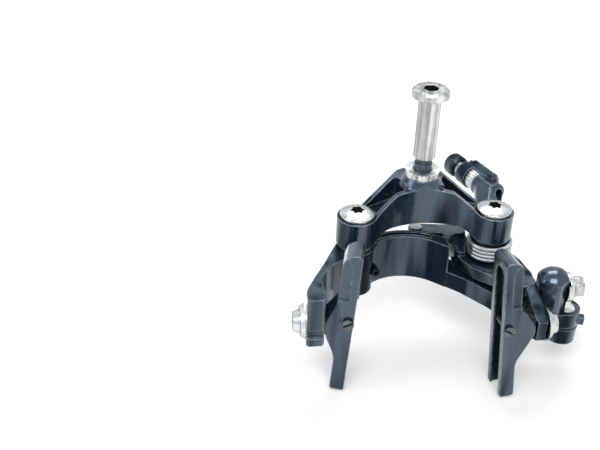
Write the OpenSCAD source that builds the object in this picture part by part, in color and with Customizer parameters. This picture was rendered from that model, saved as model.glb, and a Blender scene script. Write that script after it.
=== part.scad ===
// Road-bicycle caliper brake of the symmetric dual-pivot kind, without pads and cable.
// Z runs along the mounting bolt towards the bicycle frame, -Y points to the wheel hub.
// The origin is on the bolt axis, at the seating face of the serrated washer.

/* [Pivots and levels] */
// Half the distance between the two pivots
pivot_half = 25.5; // [25:0.1:26]
// Pivot axis below the mounting bolt
pivot_drop = 11.2; // [10.8:0.1:11.6]
// Outer radius of the bracket's pivot bosses
boss_r = 7.3; // [7.2:0.1:7.5]
// Top of the pivot bosses, below the seating face
boss_top = -12.6; // [-12.8:0.1:-12.4]
// Underside of the pivot bosses
boss_bottom = -23; // [-23.2:0.1:-22.8]
// Back of the C-shaped arm
arm_back = -25.5; // [-25.6:0.1:-25.4]
// Front of both arms
arm_front = -43.5; // [-43.8:0.1:-43.2]

/* [Mounting bolt] */
// Diameter of the mounting bolt's thread
bolt_d = 6; // [5.8:0.1:6]
// Outer diameter of the sleeve nut
sleeve_d = 8; // [7.8:0.1:8.2]
// Top of the sleeve nut's flange above the seating face
nut_top = 31.6; // [28:0.2:36]
// Diameter of the sleeve nut's flange
nut_flange_d = 13.2; // [12:0.2:14]
// Width across the flats of the hex sockets
hex_af = 5; // [4.8:0.1:5]
// Diameter of the serrated washer
washer_d = 12.6; // [12:0.2:13]
// Thickness of the serrated washer
washer_t = 2.5; // [2.3:0.1:2.5]
// Number of serrations
serrations = 24; // [16:4:32]

/* [Pivot bearings] */
// Outer diameter of the hollow pivot axles
axle_d = 8; // [7.8:0.1:8]
// Radial clearance of the turning fits
run_gap = 0.05; // [0.03:0.01:0.08]
// Outer diameter of the bushes
bush_d = 9.6; // [9.5:0.1:9.7]
// Diameter of the pivot bolt heads
head_d = 12.6; // [12:0.1:12.8]

/* [Pad holders] */
// Length of a pad holder
holder_len = 56; // [54:0.2:57]
// Height of a pad holder, radial to the wheel
holder_h = 11; // [10.8:0.1:11.4]
// Thickness of a pad holder, from pad side to back
holder_w = 6.7; // [6.5:0.1:6.9]
// Width of the pad channel
channel_w = 8.4; // [8:0.1:8.6]
// Depth of the pad channel
channel_d = 3.6; // [3.4:0.1:3.8]
// Height of the shoe bolts below the seating face
shoe_z = -40.6; // [-40.8:0.1:-40.4]
// Left shoe bolt below the mounting bolt
left_reach = 35; // [34.8:0.1:35.2]
// Right shoe bolt below the mounting bolt
right_reach = 43; // [42.8:0.1:43]
// Pad side of the left holder, from the centre
left_pad_x = 28.8; // [28.6:0.1:29]
// Pad side of the right holder, from the centre
right_pad_x = 21; // [20.8:0.1:21.2]
// Toe angle of the left holder
left_toe = 4; // [3.4:0.2:4.4]
// Toe angle of the right holder
right_toe = 4; // [3.4:0.2:4.4]

/* [Quick release and cable] */
// Quick release axis right of the centre
qr_x = 51; // [50.8:0.1:51.2]
// Quick release axis above the right shoe bolt
qr_rise = 12; // [11.8:0.1:12.2]
// Offset of the anchor body from the quick release axis
qr_offset = 6.7; // [6.6:0.1:6.8]
// Diameter of the anchor body
dome_d = 11; // [10.8:0.1:11]
// Length of the lever's blade
blade_len = 30; // [26:1:32]
// Travel of the barrel adjuster each way
adjuster_travel = 3; // [2:0.5:3]

/* [Hidden] */
$fn = 48;
eps = 0.01;

// Pivot axes in plan
left_pivot = [-pivot_half, -pivot_drop];
right_pivot = [pivot_half, -pivot_drop];

// Bracket
bracket_top = -4.4;
rim_top = -5;
rim_curve = 16;
rim_slope = 33;
bracket_bottom = -19.5;
arch_r = 27.1;
arch_drop = 34.1;
rim_t = 2.2;
wing_back = 8.6;
wing_back_x = 5.5;
wing_slope = 35;
wing_slope_x = 8;
pocket_floor = -14.5;
bolt_head_r = 5;
bolt_head_t = 3.4;

// Pivot parts
axle_r = axle_d / 2;
axle_top = -14.5;
axle_flange_r = 5.8;
axle_flange_t = 1.4;
flange_recess = 1.7;
pivot_screw_r = 2.5;
thrust_gap = 0.1;
y_hub_front = -35.8;
y_hub_back = -31.5;
y_tube_back = -24.1;
y_tube_r = 6.1;
y_hub_r = 8.6;
left_thrust_r = 6.4;
right_thrust_r = 6;
spring_turns = 4;
spring_wire_r = 0.85;
spring_r = 7.6;
spring_bottom = -31.1;
spring_top = -23.4;

// C-shaped arm: its arch is a ring about arch_c, which runs on into a straight rail
arch_c = [-7, -24.5];
c_in_r = 18;
c_out_r = 22.7;
rail_turn = 48;
step_x = 9.5;
rail_back = -36.6;
rail_r = 4.2;
rail_out = 4.3;
rail_len_1 = 12;
rail_len_2 = 24.5;
rail_drop_1 = 1.6;
rail_drop_2 = 8;
hub_r = 7;

// Pad holders
shoe_bolt_r = 2.5;
limb_slot_r = 2.6;
left_limb_in = -40.6;
left_limb_out = -46.8;
right_limb_in = 33.8;
right_limb_out = 38.2;
knee_low = -37.2;
left_thread = 4.6;
right_thread = 5.6;
inner_washer_t = 0.6;
inner_washer_r = 3.8;
holder_yaw = 12;
holder_tilt = 4;
tail_w = 5.2;
recess_d = 1;
fin_r = 4.4;
outer_washer_t = 1.6;
outer_washer_r = 6.4;

// Quick release
qr_drop = right_reach - qr_rise;
qr_c = [qr_x, -qr_drop];
dome_c = [qr_x - qr_offset, -qr_drop];
boss_low = -56.4;
boss_high = -50.2;
lever_low = -49.2;
lever_high = -43;
dome_high = -26;
qr_pin_r = 2.5;
clamp_z = -34;
cam_pin_r = 2;

// Adjuster axis, from the ring of the yoke up to the knob
ring_c = [32.6, 18, -20.5];
knob_c = [23.8, 42.6, -20.5];
adj_dir = knob_c - ring_c;
adj_len = norm(adj_dir);
adj_az = atan2(adj_dir[1], adj_dir[0]);
ring_r = 4.7;
barrel_r = 3;
strap_r = 6.9;
nut_low = 5;
nut_high = 10.4;
ear_high = 16;

// Colours
black = [0.06, 0.07, 0.09];
silver = [0.78, 0.79, 0.8];
bronze = [0.62, 0.5, 0.3];

// A round hole or rod along Z from z0 to z1 at a plan point
module rod(p, r, z0, z1, fn = 48) {
  translate([p[0], p[1], z0]) cylinder(r = r, h = z1 - z0, $fn = fn);
}

// A hex prism with the given width across flats
module hex_prism(af, h) {
  cylinder(d = af / cos(30), h = h, $fn = 6);
}

// A star socket of six lobes
module star_socket(r, h) {
  cylinder(r = r * 0.8, h = h, $fn = 32);
  for (a = [0:60:300])
    rotate([0, 0, a]) translate([r * 0.72, 0, 0]) cylinder(r = r * 0.28, h = h, $fn = 16);
}

// Plan of one bracket wing, on the right side
module wing_plan() {
  polygon([
    [-0.1, wing_back], [wing_back_x, wing_back], [pivot_half + 4.3, -pivot_drop + 6.05],
    [pivot_half, -pivot_drop], [pivot_half - 6, -pivot_drop - 4.3], [19, -15.2], [-0.1, -15.2]
  ]);
}

// Pocket in one wing, on the right side
module pocket_plan() {
  offset(r = 1.2, $fn = 24) offset(r = -1.2)
    difference() {
      polygon([[9.2, 4.0], [23.4, -4.2], [23.4, -16], [7.4, -16], [7.0, -2]]);
      translate([0, -arch_drop]) circle(r = arch_r + rim_t, $fn = 96);
    }
}

// Material above one sloping wing of the bracket, on the right side
module above_wing() {
  translate([wing_slope_x, -50, bracket_top]) rotate([0, wing_slope, 0]) cube([60, 100, 40]);
}

// Material above the arch's inner rim, which is a curve that runs out into a slope
module above_rim() {
  intersection() {
    rod([0, -arch_drop], arch_r + rim_t + 0.3, -30, 0, 96);
    translate([0, 50, 0]) rotate([90, 0, 0]) linear_extrude(100) difference() {
      translate([-0.1, -30]) square([40, 30]);
      hull() {
        translate([0, rim_top - rim_curve]) circle(r = rim_curve, $fn = 96);
        translate([0, rim_top - rim_curve])
          translate(rim_curve * [sin(rim_slope), cos(rim_slope)] + 40 * [cos(rim_slope), -sin(rim_slope)])
          square(0.1, center = true);
        translate([-10, -60]) square(50);
      }
    }
  }
}

// Material below the middle of the bracket
module below_bracket() {
  translate([-14, -50, bracket_bottom - 40]) cube([28, 100, 40]);
  for (s = [0, 1]) mirror([s, 0, 0])
    translate([14, -50, bracket_bottom]) rotate([0, 29, 0]) translate([0, 0, -40])
      cube([30, 100, 40]);
}

module back_bracket() {
  color(black) difference() {
    union() {
      difference() {
        translate([0, 0, boss_bottom]) linear_extrude(bracket_top - boss_bottom) {
          wing_plan();
          mirror([1, 0]) wing_plan();
        }
        for (s = [0, 1]) mirror([s, 0, 0]) {
          above_wing();
          above_rim();
          translate([0, 0, pocket_floor]) linear_extrude(20) pocket_plan();
        }
        below_bracket();
      }
      translate([0, 0, bracket_top - 2]) cylinder(r1 = 8.3, r2 = 6.5, h = -washer_t - bracket_top + 2);
      for (p = [left_pivot, right_pivot]) rod(p, boss_r, boss_bottom, boss_top, 72);
    }
    rod([0, -arch_drop], arch_r, -30, 0, 96);
    rod([0, 0], bolt_d / 2 + 0.05, -30, 5);
    rod([0, 0], bolt_head_r + 0.1, -30, bracket_bottom + bolt_head_t);
    for (p = [left_pivot, right_pivot]) {
      rod(p, axle_r + 0.01, boss_bottom - 1, axle_top);
      rod(p, pivot_screw_r + 0.1, axle_top - 1, 0);
      rod(p, head_d / 2 + 0.3, boss_top, 0, 72);
    }
  }
}

module mounting_bolt() {
  head_top = bracket_bottom + bolt_head_t;
  color(black) difference() {
    union() {
      rod([0, 0], bolt_head_r, bracket_bottom + 0.2, head_top);
      rod([0, 0], bolt_d / 2, head_top - eps, nut_top - 8);
      rod([0, 0], 3.3, 0, 2.6);
    }
    translate([0, 0, bracket_bottom]) hex_prism(hex_af, 2.4);
    // Undercut between the collar and the thread
    translate([0, 0, 2.6]) difference() {
      cylinder(r = 4, h = 0.8);
      cylinder(r = 2.6, h = 3, center = true);
    }
  }
}

module serrated_washer() {
  color(silver) difference() {
    rod([0, 0], washer_d / 2, -washer_t, 0, 72);
    rod([0, 0], 3.4, -5, 1);
    for (i = [0:serrations - 1]) rotate([0, 0, i * 360 / serrations])
      translate([washer_d / 2 + 0.1, 0, 0.1]) rotate([0, 12, 0]) rotate([45, 0, 0])
        cube([5, 0.9, 0.9], center = true);
  }
}

module sleeve_nut() {
  flange_t = 3;
  bottom = 4.4;
  color(silver) difference() {
    union() {
      rod([0, 0], sleeve_d / 2, bottom + 0.6, nut_top - 1);
      translate([0, 0, bottom]) cylinder(r1 = sleeve_d / 2 - 0.6, r2 = sleeve_d / 2, h = 0.6);
      rod([0, 0], nut_flange_d / 2, nut_top - flange_t, nut_top - 0.9, 72);
      translate([0, 0, nut_top - 0.9])
        cylinder(r1 = nut_flange_d / 2, r2 = nut_flange_d / 2 - 0.9, h = 0.9, $fn = 72);
    }
    rod([0, 0], bolt_d / 2 + 0.02, bottom - 1, nut_top - 6.5);
    translate([0, 0, nut_top - 5.5]) hex_prism(hex_af, 6);
  }
}

// Button-headed pivot bolt that screws down into the hollow axle
module pivot_bolt(p) {
  dome_h = 1.6;
  cap_r = (pow(head_d / 2, 2) + dome_h * dome_h) / (2 * dome_h);
  color(silver) difference() {
    union() {
      intersection() {
        rod(p, head_d / 2, boss_top, boss_top + 2.7, 72);
        translate([p[0], p[1], boss_top + 2.7 - cap_r]) sphere(r = cap_r, $fn = 96);
      }
      rod(p, pivot_screw_r, boss_bottom, boss_top + eps);
    }
    translate([p[0], p[1], boss_top + 0.8]) star_socket(2.5, 5);
  }
}

// Hollow axle, flanged at the front, that an arm turns on
module pivot_axle(p, hub_front) {
  low = hub_front + 0.1;
  color(silver) difference() {
    union() {
      rod(p, axle_r, low, axle_top);
      rod(p, axle_flange_r, low, low + axle_flange_t);
    }
    rod(p, pivot_screw_r + 0.02, boss_bottom - 1, 0);
    translate([p[0], p[1], low - 1]) hex_prism(hex_af, 4);
  }
}

module bush(p, z0, z1) {
  color(bronze) difference() {
    rod(p, bush_d / 2, z0, z1);
    rod(p, axle_r + run_gap, z0 - 1, z1 + 1);
  }
}

module thrust_washer(p, r, z0) {
  color(bronze) difference() {
    rod(p, r, z0, boss_bottom);
    rod(p, axle_r + 0.02, z0 - 1, boss_bottom + 1);
  }
}

// Bore and flange recess of an arm's hub
module hub_bore(p, z0, z1) {
  rod(p, bush_d / 2 + 0.01, z0 - 1, z1 + 1);
  rod(p, axle_flange_r + 0.2, z0 - 1, z0 + flange_recess);
}

// A plan point beside the rail: along it from the arch's end, and out from its inner face
function rail_at(along, out) =
  arch_c + (c_in_r + out) * [cos(rail_turn), sin(rail_turn)] + along * [sin(rail_turn), -cos(rail_turn)];

// Plan of the C-shaped arm's arch from the hub to the step
module arch_plan() {
  intersection() {
    difference() {
      translate(arch_c) circle(r = c_out_r, $fn = 96);
      translate(arch_c) circle(r = c_in_r, $fn = 96);
    }
    polygon([arch_c, arch_c + 30 * [cos(rail_turn), sin(rail_turn)], [-7, 14], [left_pivot[0], 14],
             [left_pivot[0], -8], [-30, -19]]);
  }
  intersection() {
    polygon([rail_at(-0.3, 0), rail_at(9, 0), rail_at(9, c_out_r - c_in_r),
             rail_at(-0.3, c_out_r - c_in_r)]);
    translate([-20, -60]) square([20 + step_x, 80]);
  }
}

// Left limb of the C-shaped arm, seen in plan
module left_limb_plan() {
  foot = -left_reach;
  polygon([
    [-25.5, -4.3], [-32.4, -9.4], [-35.8, foot + 18.6], [-39, foot + 12], [-42.9, foot + 4.8],
    [-46, foot - 1.6], [left_limb_out, foot - 4.4], [left_limb_out, foot - 8.2],
    [left_limb_out + 0.8, foot - 9], [left_limb_in - 1, foot - 9], [left_limb_in, foot - 8],
    [left_limb_in, foot + 4.6], [-38, foot + 8.6], [-34.6, foot + 12.6], [-30.6, -19.6], [-24, -17.9]
  ]);
}

module c_arm() {
  rail_0 = rail_at(1, rail_out);
  rail_1 = rail_at(rail_len_1, rail_out);
  rail_2 = rail_at(rail_len_2, rail_out);
  rail_3 = qr_c + [-14, 1.4];
  color(black) difference() {
    union() {
      rod(left_pivot, hub_r, arm_front, arm_back, 72);
      translate([0, 0, arm_front]) linear_extrude(arm_back - arm_front) arch_plan();
      // Lug behind the arch, with the slot of the link roller
      translate([-9, -5.2, arm_front + 5]) cube([17.5, 11.2, 7.1]);
      // Left limb, lower towards the shoe
      difference() {
        translate([0, 0, arm_front - 1.6]) linear_extrude(arm_back - arm_front + 1.6)
          left_limb_plan();
        translate([-70, -14, arm_back]) rotate([-atan(0.4), 0, 0]) translate([0, -60, 0])
          cube([60, 60, 30]);
        translate([-70, -26, arm_front]) rotate([4, 0, 0]) translate([0, 0, -20])
          cube([60, 60, 20]);
      }
      // Rail under the Y-shaped arm, on to the quick release boss
      hull() {
        rod(rail_0, rail_r, arm_front + 0.1, rail_back, 32);
        rod(rail_1, rail_r, arm_front + 0.1, rail_back, 32);
      }
      hull() {
        rod(rail_1, rail_r, arm_front + 0.1, rail_back, 32);
        rod(rail_2, rail_r, arm_front - rail_drop_1, rail_back - rail_drop_1, 32);
      }
      hull() {
        rod(rail_2, rail_r, arm_front - rail_drop_1, rail_back - rail_drop_1, 32);
        rod(rail_3, rail_r, arm_front - rail_drop_2, rail_back - rail_drop_2, 32);
      }
      hull() {
        rod(rail_3, rail_r, arm_front - rail_drop_2, rail_back - rail_drop_2, 32);
        rod(qr_c, 5.2, boss_low + 0.4, boss_high, 32);
      }
      rod(qr_c, 5.6, boss_low, boss_high, 72);
    }
    // Groove down the face of the left limb
    translate([0, -14, arm_back]) rotate([-atan(0.4), 0, 0]) translate([0, 14, -1.3])
      linear_extrude(5) offset(r = 0.8, $fn = 24)
        translate([0, -left_reach]) polygon([
          [-35.4, 17.6], [-38.4, 11.2], [-42.4, 2.4], [-44.6, -4.6], [-42.8, -4.9], [-40.4, 2.4], [-35.6, 11.6]
        ]);
    // Notch across the end of the left limb
    translate([left_limb_out - 1, -left_reach - 13, shoe_z - 1.2])
      cube([left_limb_in - left_limb_out + 2, 5, 3.4]);
    hub_bore(left_pivot, arm_front, arm_back);
    // Flat seat under the quick release lever
    rod(qr_c, qr_offset + 6.1, boss_high, lever_high + 4, 96);
    // Groove along the top of the arch
    translate([0, 0, arm_back - 1.2]) difference() {
      rod(arch_c, c_out_r - 1.3, 0, 3, 96);
      rod(arch_c, c_in_r + 1.4, -1, 4, 96);
      translate([4, -60, -1]) cube([40, 120, 6]);
      translate([-60, -60, -1]) cube([60 - 21, 120, 6]);
      rod(left_pivot, hub_r + 1, -1, 4);
    }
    // Slot of the link roller
    translate([0, 0.85, arm_front + 9]) rotate([0, 0, -12]) {
      translate([-0.3, -2.7, 0]) cube([14, 5.4, 12]);
      translate([-0.3, 0, 0]) cylinder(r = 2.7, h = 12);
    }
    // Threaded hole of the centring screw
    translate([-18.6, -8, -36]) rotate([90, 0, 10]) cylinder(r = 1.6, h = 12, $fn = 24);
    // Slot of the shoe bolt
    for (dy = [-2.4, 4]) translate([-60, -left_reach + dy, shoe_z]) rotate([0, 90, 0])
      cylinder(r = limb_slot_r, h = 30);
    translate([-60, -left_reach - 2.4, shoe_z - limb_slot_r]) cube([30, 6.4, 2 * limb_slot_r]);
    // Bore of the quick release bolt
    rod(qr_c, qr_pin_r + 0.02, boss_low - 1, boss_high + 1);
    rod(qr_c, 4.2, boss_low - 1, boss_low + 1.6);
    // Room for the rest of the Y-shaped arm's hub and limb
    rod(right_pivot, y_hub_r + 0.6, y_hub_front - 0.5, 0);
  }
}

// Plan of the Y-shaped arm's body under the spring
module y_body_plan() {
  offset(r = 1.6, $fn = 32) offset(r = -1.6) polygon([
    [12.6, 3.4], [12.4, -3], [13.2, -9], [14.6, -15], [17.6, -20.6], [23.6, -26.2], [29.4, -30.6],
    [33, -33.4], [37.6, -31.4], [38.2, -25], [36.6, -16], [34.1, -10], [31, -4.2], [26, -1.6], [20, 1.2]
  ]);
}

// Right limb of the Y-shaped arm, from its body down to the shoe
module right_limb() {
  half = (right_limb_out - right_limb_in) / 2;
  knee = [right_limb_in + half, -right_reach + 14];
  foot = -right_reach - 2.4;
  hull() {
    rod(knee, half, knee_low, y_hub_back - 0.2, 32);
    translate([26.5, -24, knee_low + 0.4]) cube([9.5, 5, 4]);
  }
  hull() {
    rod(knee, half, knee_low, y_hub_back - 0.2, 32);
    translate([right_limb_in, foot, -45.4]) cube([2 * half, 9, 8.6]);
    translate([right_limb_in + 0.6, foot - 1.8, -44.9]) cube([2 * half - 1.2, 2, 7.6]);
  }
}

// A point on the adjuster's own axis, at a distance from the ring of the yoke
module on_adjuster(h = 0) {
  translate(ring_c) rotate([0, 0, adj_az]) rotate([0, 90, 0]) translate([0, 0, h]) children();
}

// Yoke that holds the barrel adjuster: ring, ear and the strap that joins them
module yoke() {
  on_adjuster(-4.5) cylinder(r = ring_r, h = nut_low + 4.5);
  on_adjuster(nut_high) cylinder(r = ring_r, h = ear_high - nut_high);
  // Strap on the side away from the bolt
  on_adjuster(-1.6) rotate([0, 0, 235]) intersection() {
    rotate_extrude($fn = 64) polygon([
      [3.6, 0], [ring_r - 0.4, 0], [strap_r, 3], [strap_r, ear_high - 1.4],
      [ring_r - 0.4, ear_high + 1.2], [3.6, ear_high + 1.2]
    ]);
    translate([0, -3.6, -1]) cube([10, 7.2, ear_high + 4]);
  }
  on_adjuster(-1) rotate([0, 0, 235]) translate([1, -3, 0]) cube([4, 6, nut_low + 0.5]);
  on_adjuster(nut_high) rotate([0, 0, 235]) translate([1, -3, 0]) cube([4, 6, ear_high - nut_high - 0.4]);
}

module y_arm() {
  color(black) difference() {
    union() {
      rod(right_pivot, y_hub_r, y_hub_front, y_hub_back, 72);
      rod(right_pivot, y_tube_r, y_hub_front, y_tube_back, 64);
      translate([0, 0, y_hub_front]) linear_extrude(y_hub_back - y_hub_front) y_body_plan();
      right_limb();
      difference() {
        union() {
          // Nose that carries the link roller
          hull() {
            rod([15.6, -9.6], 2.6, y_hub_front, -30, 32);
            rod([15.4, -1.6], 3.2, y_hub_front, -26.2, 32);
          }
          hull() {
            rod([15.4, -1.6], 3.2, -31, -26.2, 32);
            rod([0, 0.7], 2.9, -31, -26.2, 32);
          }
          // Upper arm to the yoke
          hull() {
            rod([27.5, -3.5], 4.4, y_hub_front, -27, 32);
            on_adjuster(-4) cylinder(r = ring_r - 0.3, h = 7, $fn = 32);
          }
        }
        rod(right_pivot, 9, -31.4, 0, 72);
      }
      yoke();
      // Post for the loose end of the spring
      rod([30.2, -1.9], 1.3, y_hub_back - 1, -29);
    }
    hub_bore(right_pivot, y_hub_front, y_tube_back);
    // Hole of the roller pin
    rod([0, 0.7], 1.52, -40, -20, 24);
    // Bore and window of the adjuster
    on_adjuster(-10) cylinder(r = barrel_r + run_gap, h = 40);
    on_adjuster(nut_low) cylinder(r = 4.25, h = nut_high - nut_low);
    // Slot of the shoe bolt
    for (dy = [0, 4]) translate([20, -right_reach + dy, shoe_z]) rotate([0, 90, 0])
      cylinder(r = limb_slot_r, h = 30);
    translate([20, -right_reach, shoe_z - limb_slot_r]) cube([30, 4, 2 * limb_slot_r]);
    // Two grooves along the strap
    for (s = [-1.3, 1.3]) on_adjuster(0) rotate([0, 0, 235]) translate([strap_r - 0.5, s - 0.3, 1])
      cube([2, 0.6, ear_high - 3]);
  }
}

// Points round a circle of the spring's wire at one place along its helix
function wire_ring(a, z) = [for (i = [0:7])
  let (b = i * 45, r = spring_r + spring_wire_r * cos(b))
  [r * cos(a), r * sin(a), z + spring_wire_r * sin(b)]];

module return_spring() {
  steps = spring_turns * 20;
  z0 = spring_bottom + spring_wire_r;
  z1 = spring_top - spring_wire_r;
  start = 80;
  rings = [for (k = [0:steps]) wire_ring(start + k * 18, z0 + (z1 - z0) * k / steps)];
  points = [for (r = rings) for (p = r) p];
  sides = [for (k = [0:steps - 1]) for (i = [0:7])
    [k * 8 + (i + 1) % 8, (k + 1) * 8 + (i + 1) % 8, (k + 1) * 8 + i, k * 8 + i]];
  ends = [[for (i = [7:-1:0]) i], [for (i = [0:7]) steps * 8 + i]];
  color(silver) translate([right_pivot[0], right_pivot[1], 0])
    polyhedron(points = points, faces = concat(sides, ends), convexity = 8);
}

module link_roller() {
  color(silver) difference() {
    rod([0, 0.7], 2.15, -34.1, -31.1);
    rod([0, 0.7], 1.55, -40, -20, 24);
  }
}

module roller_pin() {
  color(silver) {
    rod([0, 0.7], 1.5, -34.1, -26.2, 24);
    rod([0, 0.7], 2.3, -26.2, -25.6, 32);
  }
}

module centring_screw() {
  color(black) translate([-18.6, -8, -36]) rotate([90, 0, 10]) difference() {
    translate([0, 0, 1]) cylinder(r = 1.58, h = 5.6, $fn = 24);
    translate([0, 0, 5]) hex_prism(1.5, 3);
  }
}

// Outline of a pad holder between its pad side and its back, from the open end to the top
module holder_outline() {
  top = holder_len / 2;
  low = -holder_len / 2;
  polygon([
    [0, low + 0.5], [0.5, low], [tail_w - 0.7, low], [tail_w, low + 0.7], [tail_w, -15],
    [holder_w, -9], [holder_w, top - 4.4], [holder_w - 1, top - 1.6], [holder_w - 2.8, top - 0.3],
    [holder_w - 4, top], [1, top], [0, top - 1]
  ]);
}

// Body of a pad holder with its channel, pad side at x = 0
module holder_body() {
  half = holder_len / 2;
  difference() {
    rotate([90, 0, 0]) translate([0, 0, -holder_h / 2]) linear_extrude(holder_h) holder_outline();
    // Pad channel, open at the front end and rounded at the top, with lips
    translate([0.8, -channel_w / 2, -half - 1]) cube([channel_d - 0.8, channel_w, holder_len - 6]);
    translate([0.8, 0, half - 7]) rotate([0, 90, 0]) cylinder(r = channel_w / 2, h = channel_d - 0.8);
    translate([-1, -channel_w / 2 + 0.7, -half - 1]) cube([3, channel_w - 1.4, holder_len - 6]);
    translate([-1, 0, half - 7]) rotate([0, 90, 0]) cylinder(r = channel_w / 2 - 0.7, h = 3);
    // Recess of the near side above the fin
    translate([0, -holder_h / 2 + recess_d, 0]) rotate([90, 0, 0]) linear_extrude(recess_d + 1)
      offset(r = 1.4, $fn = 24) offset(r = -1.4)
      polygon([[2.9, 9.6], [12, 9.6], [12, half - 2], [4.6, half - 2], [2.9, half - 5]]);
    // Hollow along the back, below the fin and above it
    translate([tail_w - 1.5, -holder_h / 2 + 1.8, -half - 1]) cube([4, holder_h - 3.4, 13]);
    translate([holder_w - 2, -holder_h / 2 + 1.8, 12]) cube([4, holder_h - 3.4, 9.4]);
    // Notch at the open end
    translate([-1, -1.5, -half - 1]) cube([channel_d + 1, 3, 2.2]);
    // Hole of the pad screw
    translate([channel_d / 2 + 0.1, -10, 1]) rotate([-90, 0, 0]) cylinder(r = 1.12, h = 20, $fn = 24);
  }
}

// Places a holder: side 1 is right, -1 is left
module at_holder(side, pad_x, reach, toe) {
  translate([side * pad_x, -reach, shoe_z]) mirror([side < 0 ? 1 : 0, 0, 0])
    rotate([-holder_tilt, -toe, side < 0 ? holder_yaw + 2 : holder_yaw / 2]) children();
}

// One holder with its fin, which ends square to the shoe bolt at fin_end
module pad_holder(side, pad_x, reach, toe, fin_end, thread) {
  base_x = channel_d + 0.9;
  difference() {
    union() {
      at_holder(side, pad_x, reach, toe) holder_body();
      hull() {
        at_holder(side, pad_x, reach, toe) rotate([90, 0, 0]) translate([0, 0, -holder_h / 2 + 2.4])
          linear_extrude(holder_h - 2.4) polygon([
            [base_x, -14], [tail_w - 0.2, -14], [holder_w - 0.3, -8], [holder_w - 0.3, 8.6], [base_x, 8.6]
          ]);
        translate([side * fin_end, -reach - 0.6, shoe_z]) rotate([0, -side * 90, 0])
          cylinder(r = fin_r, h = 0.8, $fn = 32);
      }
    }
    translate([side * (fin_end + 5), -50, shoe_z]) cube([10, 60, 60], center = true);
    translate([side * (fin_end + 0.2), -reach, shoe_z]) rotate([0, -side * 90, 0])
      cylinder(r = shoe_bolt_r + 0.01, h = thread + 0.4);
  }
}

module left_pad_holder() {
  color(black) pad_holder(-1, left_pad_x, left_reach, left_toe, -left_limb_in - inner_washer_t, left_thread);
}

module right_pad_holder() {
  color(black) pad_holder(1, right_pad_x, right_reach, right_toe, right_limb_in - inner_washer_t, right_thread);
}

// Slotted screw that keeps the pad in its channel
module pad_screw(side, pad_x, toe, reach) {
  color(silver) at_holder(side, pad_x, reach, toe)
    translate([channel_d / 2 + 0.1, -holder_h / 2, 1]) rotate([-90, 0, 0]) difference() {
      union() {
        translate([0, 0, -1.2]) cylinder(r = 2.1, h = 1.2, $fn = 32);
        cylinder(r = 1.1, h = holder_h - 1, $fn = 24);
      }
      rotate([0, 0, 35]) translate([-3, -0.3, -1.4]) cube([6, 0.6, 0.8]);
    }
}

// Shoe bolt from the outside of a limb into the holder; side 1 is right
module shoe_bolt(side, limb_in, limb_out, reach, depth) {
  head_x = abs(limb_out) + outer_washer_t;
  tip_x = abs(limb_in) - inner_washer_t - depth;
  color(silver) translate([0, -reach, shoe_z]) mirror([side < 0 ? 1 : 0, 0, 0]) difference() {
    union() {
      translate([tip_x, 0, 0]) rotate([0, 90, 0]) cylinder(r = shoe_bolt_r, h = head_x - tip_x + eps);
      translate([head_x, 0, 0]) rotate([0, 90, 0]) cylinder(r1 = 4.4, r2 = 3.6, h = 2.4);
    }
    translate([head_x + 0.6, 0, 0]) rotate([0, 90, 0]) hex_prism(4, 3);
  }
}

// Washer on a shoe bolt, between two places along X
module shoe_washer(x0, t, r, reach, dish) {
  color(silver) translate([x0, -reach, shoe_z]) rotate([0, 90, 0]) difference() {
    cylinder(r1 = dish > 0 ? r : r - 1, r2 = dish > 0 ? r - 1 : r, h = t, $fn = 64);
    translate([0, 0, -1]) cylinder(r = shoe_bolt_r + 0.05, h = t + 2);
  }
}

module qr_lever() {
  blade_dir = 68;
  color(black) difference() {
    union() {
      rod(qr_c, 5.4, lever_low, lever_high, 64);
      rod(dome_c, 5.6, lever_low, lever_high, 64);
      translate([dome_c[0], dome_c[1] - 5.2, lever_low]) cube([qr_offset, 10.4, lever_high - lever_low]);
      // Stop tab of the ring
      translate([qr_c[0], qr_c[1], lever_low]) rotate([0, 0, -20]) translate([3, -1.4, 0])
        cube([4.4, 2.8, 3]);
      // Blade, curved in plan and bent back at its tip
      translate([qr_c[0], qr_c[1], 0]) rotate([0, 0, blade_dir]) {
        hull() {
          rod([1.2, 0], 4, lever_low, lever_high, 32);
          rod([blade_len * 0.45, 1.6], 3.4, lever_low, lever_low + 2.8, 32);
        }
        hull() {
          rod([blade_len * 0.45, 1.6], 3.4, lever_low, lever_low + 2.8, 32);
          rod([blade_len - 3.4, -0.6], 3.4, lever_low - 3.4, lever_low - 1, 32);
        }
      }
    }
    rod(qr_c, qr_pin_r + run_gap, -80, 0);
    rod(qr_c, 3.6, lever_high - 1.4, 0);
    rod(dome_c, cam_pin_r + run_gap, -80, 0);
  }
}

module qr_bolt() {
  color(silver) difference() {
    union() {
      rod(qr_c, 4, boss_low + 0.2, boss_low + 1.6);
      rod(qr_c, qr_pin_r, boss_low + 1, lever_high - 1.3);
      rod(qr_c, 3.5, lever_high - 1.35, lever_high - 0.2);
    }
    translate([qr_c[0], qr_c[1], boss_low - 1]) hex_prism(4, 4);
  }
}

module qr_washer() {
  color(black) difference() {
    rod(qr_c, 5.3, boss_high + 0.02, lever_low - 0.1, 64);
    rod(qr_c, qr_pin_r + 0.03, -80, 0);
  }
}

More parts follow.
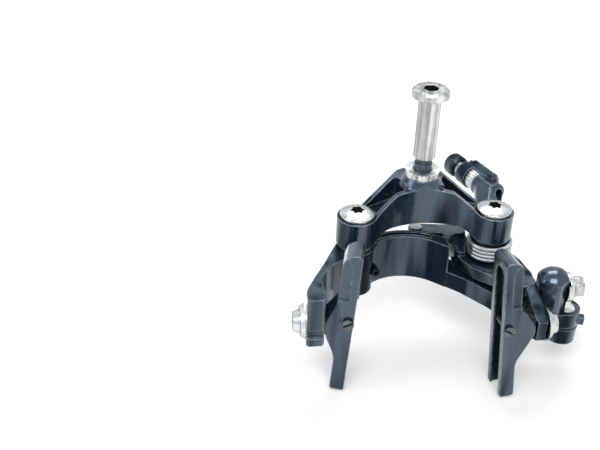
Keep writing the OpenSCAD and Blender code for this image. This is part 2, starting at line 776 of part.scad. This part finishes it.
module anchor_body() {
  r = dome_d / 2;
  low = lever_high + 0.15;
  color(black) difference() {
    union() {
      // Hexagonal body under a round top
      intersection() {
        union() {
          rod(dome_c, r * 1.09, low, dome_high - r * 1.2, 64);
          translate([dome_c[0], dome_c[1], dome_high - r * 1.25]) sphere(r = r * 1.25, $fn = 96);
        }
        rod(dome_c, r * 1.09, low, 0, 64);
        translate([dome_c[0], dome_c[1], low - 1]) rotate([0, 0, 30]) hex_prism(dome_d, 30);
      }
      rod(dome_c, cam_pin_r, lever_low + 0.2, low + eps);
    }
    // Seat of the clamp plate and hole of its bolt
    translate([dome_c[0] + r - 1.2, dome_c[1] - 10, clamp_z - 7]) cube([10, 20, 13.4]);
    translate([dome_c[0] - 2, dome_c[1], clamp_z]) rotate([0, 90, 0])
      cylinder(r = 2.52, h = 10);
  }
}

module cable_clamp_plate() {
  x0 = dome_c[0] + dome_d / 2 - 1.2;
  color(silver) difference() {
    union() {
      translate([x0, dome_c[1], clamp_z]) rotate([0, 90, 0]) cylinder(r = 5.6, h = 2, $fn = 64);
      translate([x0, dome_c[1] - 4.4, clamp_z - 6.4]) cube([2, 8.8, 6.4]);
    }
    translate([x0 - 1, dome_c[1], clamp_z]) rotate([0, 90, 0]) cylinder(r = 2.6, h = 4);
    // Groove for the cable
    translate([x0 - 0.2, dome_c[1] - 10, clamp_z + 3.1]) cube([0.9, 20, 1.5]);
  }
}

module cable_clamp_bolt() {
  x0 = dome_c[0] + dome_d / 2 + 0.8;
  color(silver) translate([0, dome_c[1], clamp_z]) difference() {
    union() {
      translate([dome_c[0] - 1.8, 0, 0]) rotate([0, 90, 0]) cylinder(r = 2.5, h = x0 - dome_c[0] + 1.8 + eps);
      translate([x0, 0, 0]) rotate([0, 90, 0]) cylinder(r = 4.4, h = 1);
      translate([x0 + 1 - eps, 0, 0]) rotate([0, 90, 0]) hex_prism(7, 3.6);
    }
    translate([x0 + 2.4, 0, 0]) rotate([0, 90, 0]) cylinder(r = 1.8, h = 4, $fn = 24);
  }
}

module adjuster_barrel() {
  color(silver) on_adjuster(-3) difference() {
    cylinder(r = barrel_r, h = adj_len + 2);
    translate([0, 0, -1]) cylinder(r = 1.1, h = 60, $fn = 24);
    translate([0, 0, 8]) cylinder(r = 2.5, h = 60, $fn = 32);
  }
}

module adjuster_knob() {
  low = ear_high + adjuster_travel + 0.3;
  color(black) on_adjuster(low) difference() {
    union() {
      cylinder(r1 = 3.8, r2 = 4.5, h = 1);
      translate([0, 0, 1]) cylinder(r = 4.5, h = 4);
      translate([0, 0, 5]) cylinder(r1 = 4.5, r2 = 3.6, h = 1.2);
    }
    translate([0, 0, -1]) cylinder(r = barrel_r + 0.01, h = 12);
    for (a = [0:30:330]) rotate([0, 0, a]) translate([4.7, 0, 1.2]) cylinder(r = 0.45, h = 3.6, $fn = 16);
  }
}

module adjuster_nut() {
  color(silver) on_adjuster(nut_low + 0.1) difference() {
    cylinder(r = 4.1, h = nut_high - nut_low - 0.2);
    translate([0, 0, -1]) cylinder(r = barrel_r + run_gap, h = 12);
    for (a = [0:20:340]) rotate([0, 0, a]) translate([4.3, 0, -1]) cylinder(r = 0.4, h = 12, $fn = 16);
  }
}

back_bracket();
mounting_bolt();
serrated_washer();
sleeve_nut();
pivot_bolt(left_pivot);  // left_pivot_bolt
pivot_bolt(right_pivot);  // right_pivot_bolt
pivot_axle(left_pivot, arm_front);  // left_pivot_axle
pivot_axle(right_pivot, y_hub_front);  // right_pivot_axle
bush(left_pivot, arm_front + flange_recess, arm_back);  // left_bush
bush(right_pivot, y_hub_front + flange_recess, y_tube_back);  // right_bush
thrust_washer(left_pivot, left_thrust_r, arm_back + thrust_gap);  // left_thrust_washer
thrust_washer(right_pivot, right_thrust_r, y_tube_back + thrust_gap);  // right_thrust_washer
c_arm();
y_arm();
return_spring();
link_roller();
roller_pin();
centring_screw();
left_pad_holder();
right_pad_holder();
pad_screw(-1, left_pad_x, left_toe, left_reach);  // left_pad_screw
pad_screw(1, right_pad_x, right_toe, right_reach);  // right_pad_screw
shoe_bolt(-1, left_limb_in, left_limb_out, left_reach, left_thread);  // left_shoe_bolt
shoe_bolt(1, right_limb_in, right_limb_out, right_reach, right_thread);  // right_shoe_bolt
shoe_washer(left_limb_in, inner_washer_t, inner_washer_r, left_reach, 1);  // left_inner_washer
shoe_washer(right_limb_in - inner_washer_t, inner_washer_t, inner_washer_r, right_reach, -1);  // right_inner_washer
shoe_washer(left_limb_out - outer_washer_t, outer_washer_t, outer_washer_r, left_reach, -1);  // left_outer_washer
shoe_washer(right_limb_out, outer_washer_t, outer_washer_r, right_reach, 1);  // right_outer_washer
qr_lever();
qr_bolt();
qr_washer();
anchor_body();
cable_clamp_plate();
cable_clamp_bolt();
adjuster_barrel();
adjuster_knob();
adjuster_nut();
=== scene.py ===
# Looks of the caliper brake: gloss black castings, bright steel and a pale studio.
import math

import bpy
from mathutils import Matrix, Vector


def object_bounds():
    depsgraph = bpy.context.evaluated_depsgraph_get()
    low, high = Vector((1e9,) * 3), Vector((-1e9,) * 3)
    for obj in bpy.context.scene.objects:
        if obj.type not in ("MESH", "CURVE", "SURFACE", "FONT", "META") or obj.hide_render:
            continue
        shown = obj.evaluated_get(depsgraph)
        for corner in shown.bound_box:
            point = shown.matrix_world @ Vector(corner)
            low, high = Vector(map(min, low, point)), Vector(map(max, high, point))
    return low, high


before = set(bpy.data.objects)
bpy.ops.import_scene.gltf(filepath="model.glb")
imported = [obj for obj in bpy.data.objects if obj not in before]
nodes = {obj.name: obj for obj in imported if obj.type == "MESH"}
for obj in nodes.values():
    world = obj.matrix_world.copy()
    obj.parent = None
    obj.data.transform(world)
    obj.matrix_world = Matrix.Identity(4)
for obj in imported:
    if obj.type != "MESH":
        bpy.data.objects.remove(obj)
cad_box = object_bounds()

# Camera fitted to the photograph, in metres and degrees, the lens and sensor in millimetres
CAMERA_AT = (-0.080619, -0.284012, 0.156155)
LOOK_DOWN = 32.0
LOOK_TURN = 7.2
ROLL = 1.7
FOCAL = 54.0
SENSOR = 36.0
NEAREST, FARTHEST = 0.01, 20

# Rounded edges in the shading and the reach of the shade painted into corners, in metres
PAINT_EDGE = 0.0009
METAL_EDGE = 0.0003
BUMP_DEPTH = 0.0001
PAINT_CORNER = 0.003
METAL_CORNER = 0.0016
SHADE_SAMPLES = 8

# Cosine of the shading's bend where a spot is wholly an edge, and where it is none
EDGE_FULL, EDGE_NONE = 0.82, 0.99

# How strongly the shade painted into corners and onto faces turned away shows, from 0 to 1
PAINT_SHADE = 0.75
METAL_SHADE = 0.96
RIM_SHADE = 0.9

# Cool tint of the paint's highlights
PAINT_TINT = (0.5, 0.74, 1.0, 1)

# Strength of the world as light and as it is seen, and how its bands are drawn out
WORLD_LIGHT = 0.24
WORLD_SEEN = 1.0
WORLD_BANDS = (1.6, 1.6, 0.3)

# How bright the floor shows by itself near the part and far away, and where it changes (m)
FLOOR_LIFT = (0.3, 0.8)
FLOOR_FADE = (0.35, 1.2)
FLOOR_RADIUS = 2.5
FLOOR_SIDES = 128
FLOOR_GAP = 0.0002

# Soft lamps: place, aim and size in metres, power in watts, colour
WHITE = (1, 1, 1)
LAMPS = {
    "front_above": ((-0.12, -0.42, 0.62), (0, 0, -0.03), (0.5, 0.35), 3.4, WHITE),
    "back_above": ((0.06, 0.32, 0.58), (0, 0, -0.02), (0.5, 0.28), 2.3, WHITE),
    "left": ((-0.75, -0.15, 0.28), (0, -0.02, -0.02), (0.35, 0.45), 1.4, (0.92, 0.96, 1.0)),
}

# Pieces by their finish
CASTINGS = ["back_bracket", "c_arm", "y_arm", "left_pad_holder", "right_pad_holder", "qr_lever",
            "anchor_body"]
SATIN = ["adjuster_knob", "mounting_bolt", "qr_washer", "centring_screw"]
BRONZE = ["left_bush", "right_bush"]
STREAKED = ["sleeve_nut", "adjuster_barrel", "adjuster_nut", "cable_clamp_bolt"]
COIL = ["return_spring"]
# The pad screws are blackened; the thrust washers take the same dark colour as painted shade in the
# narrow seam they sit in
DARK_STEEL_AND_SEAM_SHADE = ["left_pad_screw", "right_pad_screw", "left_thrust_washer", "right_thrust_washer"]
BRIGHT = [n for n in nodes if n not in CASTINGS + SATIN + BRONZE + STREAKED + COIL + DARK_STEEL_AND_SEAM_SHADE]

# Key sockets, where shade is painted: a face nearer to the piece's axis than the first size,
# and further below its top than the second, is inside
SOCKETS = {
    "left_pivot_bolt": (0.0027, 0.0003),
    "right_pivot_bolt": (0.0027, 0.0003),
    "sleeve_nut": (0.00295, 0.0005),
}


def make_camera():
    """The photograph's camera, from how far it looks down, turns to the right and rolls."""
    down, turn, roll = (math.radians(a) for a in (LOOK_DOWN, LOOK_TURN, ROLL))
    level = Vector((math.sin(turn), math.cos(turn), 0))
    upright = Vector((0, 0, 1))
    ahead = math.cos(down) * level - math.sin(down) * upright
    right = Vector((math.cos(turn), -math.sin(turn), 0))
    up = math.sin(down) * level + math.cos(down) * upright
    right, up = (
        math.cos(roll) * right + math.sin(roll) * up,
        -math.sin(roll) * right + math.cos(roll) * up,
    )
    data = bpy.data.cameras.new("camera")
    data.lens = FOCAL
    data.sensor_width = SENSOR
    data.sensor_fit = "HORIZONTAL"
    data.clip_start, data.clip_end = NEAREST, FARTHEST
    cam = bpy.data.objects.new("camera", data)
    bpy.context.scene.collection.objects.link(cam)
    m = Matrix((right, up, -ahead)).transposed().to_4x4()
    m.translation = Vector(CAMERA_AT)
    cam.matrix_world = m
    bpy.context.scene.camera = cam


def new_material(name):
    """A material with its tree's nodes and links, and its shader."""
    mat = bpy.data.materials.new(name)
    mat.use_nodes = True
    tree = mat.node_tree
    return mat, tree.nodes, tree.links, tree.nodes["Principled BSDF"]


def noise(made, links, scale, detail=3.0, rough=0.55, stretch=(1, 1, 1), space="Object"):
    """Noise over a space of coordinates, stretched along an axis for brushed marks or bands."""
    coord = made.new("ShaderNodeTexCoord")
    mapping = made.new("ShaderNodeMapping")
    mapping.inputs["Scale"].default_value = stretch
    tex = made.new("ShaderNodeTexNoise")
    tex.inputs["Scale"].default_value = scale
    tex.inputs["Detail"].default_value = detail
    tex.inputs["Roughness"].default_value = rough
    links.new(coord.outputs[space], mapping.inputs["Vector"])
    links.new(mapping.outputs["Vector"], tex.inputs["Vector"])
    return tex.outputs["Fac"]


def ramp(made, links, source, stops):
    """A colour ramp over a factor, from (place, colour) stops; a single number is a grey."""
    node = made.new("ShaderNodeValToRGB")
    elements = node.color_ramp.elements
    while len(elements) < len(stops):
        elements.new(0.5)
    for element, (place, colour) in zip(elements, stops):
        element.position = place
        element.color = (*colour, 1) if isinstance(colour, tuple) else (colour, colour, colour, 1)
    links.new(source, node.inputs["Fac"])
    return node.outputs["Color"]


def feed(links, value, socket):
    """Links an output to an input, or writes a plain value there."""
    if isinstance(value, bpy.types.NodeSocket):
        links.new(value, socket)
    else:
        socket.default_value = value


def blend(made, links, factor, first, second, kind="MIX"):
    """Mixes two colours by a factor; each is a value or a socket. The node has its colour
    inputs at places 6 and 7 and its colour output at place 2."""
    node = made.new("ShaderNodeMix")
    node.data_type = "RGBA"
    node.blend_type = kind
    for place, value in ((0, factor), (6, first), (7, second)):
        feed(links, value, node.inputs[place])
    return node.outputs[2]


def soft_edges(made, links, shader, radius, height, strength):
    """Rounds the edges in the shading, adds a fine bump, and returns where the edges are."""
    bevel = made.new("ShaderNodeBevel")
    bevel.samples = SHADE_SAMPLES
    bevel.inputs["Radius"].default_value = radius
    bump = made.new("ShaderNodeBump")
    bump.inputs["Strength"].default_value = strength
    bump.inputs["Distance"].default_value = BUMP_DEPTH
    links.new(height, bump.inputs["Height"])
    links.new(bevel.outputs["Normal"], bump.inputs["Normal"])
    links.new(bump.outputs["Normal"], shader.inputs["Normal"])
    flat = made.new("ShaderNodeNewGeometry")
    dot = made.new("ShaderNodeVectorMath")
    dot.operation = "DOT_PRODUCT"
    links.new(bevel.outputs["Normal"], dot.inputs[0])
    links.new(flat.outputs["True Normal"], dot.inputs[1])
    return ramp(made, links, dot.outputs["Value"], [(EDGE_FULL, 1.0), (EDGE_NONE, 0.0)])


def crevice_shade(made, links, reach, low, high):
    """Painted shade from ambient occlusion: dark in sockets, gaps and corners, white in the open.
    """
    shade = made.new("ShaderNodeAmbientOcclusion")
    shade.samples = SHADE_SAMPLES
    shade.inputs["Distance"].default_value = reach
    return ramp(made, links, shade.outputs["AO"], [(low, 0.0), (high, 1.0)])


def gloss_black(name, base, high, edge_highlight, rough):
    """Thick paint over a casting: uneven colour and polish, a painted highlight along the edges,
    broken up by noise, and painted shade in the corners.
    """
    mat, made, links, shader = new_material(name)
    peel = noise(made, links, scale=900.0)
    edges = soft_edges(made, links, shader, PAINT_EDGE, peel, strength=0.06)
    tone = noise(made, links, scale=70.0, detail=5.0)
    clouds = ramp(made, links, tone, [(0.35, base), (0.75, high)])
    # Painted highlight: a pale colour along the edges, broken up by noise, stands in for light
    # caught on the rounded edges
    breakup_noise = noise(made, links, scale=420.0, detail=4.0)
    mottled = ramp(made, links, breakup_noise, [(0.4, 0.35), (0.65, 1.0)])
    edge_highlight_mask = blend(made, links, 1.0, edges, mottled, "MULTIPLY")
    colour = blend(made, links, edge_highlight_mask, clouds, (*edge_highlight, 1))
    # Painted shade: the colour darkens in corners and gaps by ambient occlusion
    depth = crevice_shade(made, links, PAINT_CORNER, low=0.2, high=0.75)
    shade = blend(made, links, PAINT_SHADE, colour, depth, "MULTIPLY")
    links.new(shade, shader.inputs["Base Color"])
    smudge = noise(made, links, scale=130.0, detail=6.0, rough=0.65)
    dull = ramp(made, links, smudge, [(0.35, rough), (0.7, rough + 0.16)])
    links.new(dull, shader.inputs["Roughness"])
    shader.inputs["IOR"].default_value = 1.5
    shader.inputs["Specular Tint"].default_value = PAINT_TINT
    polish = noise(made, links, scale=85.0, detail=2.0, rough=0.5, stretch=(1, 1, 0.18))
    shine = ramp(made, links, polish, [(0.4, 0.06), (0.47, 0.6), (0.56, 1.0)])
    links.new(shine, shader.inputs["Specular IOR Level"])
    coat = ramp(made, links, polish, [(0.41, 0.05), (0.56, 0.85)])
    links.new(coat, shader.inputs["Coat Weight"])
    shader.inputs["Coat Roughness"].default_value = 0.06
    return mat


def metal(name, base, high, rough, stretch=(1, 1, 1), scale=500.0, spread=(0.3, 0.7)):
    """Turned or brushed metal with marks along one axis, painted shade in sockets and grooves, and
    painted shade on faces where it turns away."""
    mat, made, links, shader = new_material(name)
    marks = noise(made, links, scale, detail=4.0, rough=0.6, stretch=stretch)
    soft_edges(made, links, shader, METAL_EDGE, marks, strength=0.05)
    colour = ramp(made, links, marks, [(spread[0], base), (spread[1], high)])
    blotches = noise(made, links, scale=260.0, detail=5.0)
    dirt = ramp(made, links, blotches, [(0.3, 0.8), (0.6, 1.0)])
    mottled = blend(made, links, 1.0, colour, dirt, "MULTIPLY")
    # Painted shade: the colour darkens in sockets and grooves by ambient occlusion
    depth = crevice_shade(made, links, METAL_CORNER, low=0.35, high=0.8)
    deep = blend(made, links, METAL_SHADE, mottled, depth, "MULTIPLY")
    # Painted shade: the colour darkens on faces that turn away from the view
    turned_away = made.new("ShaderNodeLayerWeight")
    turned_away.inputs["Blend"].default_value = 0.5
    painted_rim_shade = ramp(made, links, turned_away.outputs["Facing"], [(0.5, 1.0), (0.92, 0.25)])
    shade = blend(made, links, RIM_SHADE, deep, painted_rim_shade, "MULTIPLY")
    links.new(shade, shader.inputs["Base Color"])
    dull = ramp(made, links, marks, [(0.25, rough), (0.8, rough + 0.16)])
    links.new(dull, shader.inputs["Roughness"])
    shader.inputs["Metallic"].default_value = 1.0
    return mat


def paint(names, mat):
    """Gives each named piece this material alone."""
    for n in names:
        mesh = nodes[n].data
        mesh.materials.clear()
        mesh.materials.append(mat)
        for poly in mesh.polygons:
            poly.material_index = 0


def paint_socket_shade():
    """Paints shade on the inner faces of the upright key sockets: a dark, mottled colour that
    stands in for the shade inside them.
    """
    mat, made, links, shader = new_material("socket_painted_shade")
    # Painted shade: a near-black colour stands in for the shade inside the sockets
    blotches = noise(made, links, scale=600.0)
    socket_shade = ramp(made, links, blotches, [(0.3, (0.01, 0.012, 0.015)), (0.7, (0.05, 0.055, 0.06))])
    links.new(socket_shade, shader.inputs["Base Color"])
    shader.inputs["Roughness"].default_value = 0.45
    shader.inputs["Metallic"].default_value = 0.6
    for n, (reach, depth) in SOCKETS.items():
        obj = nodes[n]
        obj.data.materials.append(mat)
        slot = len(obj.data.materials) - 1
        places = [obj.matrix_world @ v.co for v in obj.data.vertices]
        low, high = ([pick(p[i] for p in places) for i in range(3)] for pick in (min, max))
        for poly in obj.data.polygons:
            at = obj.matrix_world @ poly.center
            off_axis = math.hypot(at.x - (low[0] + high[0]) / 2, at.y - (low[1] + high[1]) / 2)
            if off_axis < reach and at.z < high[2] - depth:
                poly.material_index = slot


def by_ray(made, links, light, seen):
    """One value for the light a surface gives, another for how it is seen, directly or mirrored."""
    path = made.new("ShaderNodeLightPath")
    total = path.outputs["Is Camera Ray"]
    for kind in ("Is Glossy Ray", "Is Transmission Ray"):
        both = made.new("ShaderNodeMath")
        both.operation = "ADD"
        both.use_clamp = True
        links.new(total, both.inputs[0])
        links.new(path.outputs[kind], both.inputs[1])
        total = both.outputs["Value"]
    pick = made.new("ShaderNodeMapRange")
    pick.inputs["To Min"].default_value = light
    feed(links, seen, pick.inputs["To Max"])
    links.new(total, pick.inputs["Value"])
    return pick.outputs["Result"]


def make_floor():
    """A round white sheet, lifted a little where it is seen, and more far from the part."""
    low = cad_box[0].z - FLOOR_GAP
    bpy.ops.mesh.primitive_circle_add(vertices=FLOOR_SIDES, radius=FLOOR_RADIUS,
                                      fill_type="NGON", location=(0, 0, low))
    floor = bpy.context.object
    floor.name = "floor"
    mat, made, links, shader = new_material("floor_white")
    tint = noise(made, links, scale=3.0)
    colour = ramp(made, links, tint, [(0.3, (0.88, 0.885, 0.89)), (0.7, (0.91, 0.913, 0.917))])
    shader.inputs["Roughness"].default_value = 0.8
    links.new(colour, shader.inputs["Base Color"])
    shader.inputs["Emission Color"].default_value = (*WHITE, 1)
    place = made.new("ShaderNodeNewGeometry")
    away = made.new("ShaderNodeVectorMath")
    away.operation = "LENGTH"
    links.new(place.outputs["Position"], away.inputs[0])
    lift = made.new("ShaderNodeMapRange")
    lift.inputs["From Min"].default_value, lift.inputs["From Max"].default_value = FLOOR_FADE
    lift.inputs["To Min"].default_value, lift.inputs["To Max"].default_value = FLOOR_LIFT
    links.new(away.outputs["Value"], lift.inputs["Value"])
    strength = by_ray(made, links, light=0.0, seen=lift.outputs["Result"])
    links.new(strength, shader.inputs["Emission Strength"])
    floor.data.materials.append(mat)


def make_world():
    """A pale studio with soft upright bands, seen the same by the camera and by metal."""
    world = bpy.data.worlds.new("studio")
    bpy.context.scene.world = world
    world.use_nodes = True
    made, links = world.node_tree.nodes, world.node_tree.links
    waves = noise(made, links, scale=1.7, detail=1.5, rough=0.5, stretch=WORLD_BANDS,
                  space="Generated")
    bands = ramp(made, links, waves, [(0.42, (0.62, 0.68, 0.74)), (0.58, (0.97, 0.98, 1.0))])
    back = made.new("ShaderNodeBackground")
    links.new(bands, back.inputs["Color"])
    strength = by_ray(made, links, light=WORLD_LIGHT, seen=WORLD_SEEN)
    links.new(strength, back.inputs["Strength"])
    links.new(back.outputs["Background"], made["World Output"].inputs["Surface"])


def softbox(name, at, aim, size, power, colour):
    """A rectangular lamp that faces its aim."""
    data = bpy.data.lights.new(name, "AREA")
    data.shape = "RECTANGLE"
    data.size, data.size_y = size
    data.energy = power
    data.color = colour
    light = bpy.data.objects.new(name, data)
    bpy.context.scene.collection.objects.link(light)
    light.location = at
    light.rotation_mode = "QUATERNION"
    light.rotation_quaternion = (Vector(aim) - Vector(at)).to_track_quat("-Z", "Y")


make_camera()
paint(CASTINGS, gloss_black("gloss_black", base=(0.005, 0.013, 0.025),
                            high=(0.013, 0.026, 0.043), edge_highlight=(0.34, 0.41, 0.48), rough=0.16))
paint(SATIN, gloss_black("satin_black", base=(0.012, 0.016, 0.022),
                         high=(0.02, 0.026, 0.034), edge_highlight=(0.07, 0.085, 0.1), rough=0.38))
paint(BRIGHT, metal("bright_steel", base=(0.6, 0.6, 0.59), high=(0.88, 0.88, 0.865), rough=0.2))
paint(STREAKED, metal("streaked_steel", base=(0.34, 0.34, 0.33), high=(0.86, 0.86, 0.835),
                      rough=0.26, stretch=(1, 1, 0.03), scale=420.0, spread=(0.38, 0.62)))
paint(COIL, metal("spring_wire", base=(0.42, 0.45, 0.47), high=(0.82, 0.84, 0.85), rough=0.28))
paint(BRONZE, metal("bronze", base=(0.22, 0.16, 0.09), high=(0.36, 0.27, 0.15), rough=0.35))
paint(DARK_STEEL_AND_SEAM_SHADE, metal("dark_steel_and_seam_shade", base=(0.08, 0.09, 0.1), high=(0.2, 0.21, 0.22), rough=0.3))
paint_socket_shade()

make_floor()
make_world()
for lamp, settings in LAMPS.items():
    softbox(lamp, *settings)
bpy.context.scene.view_settings.view_transform = "Standard"
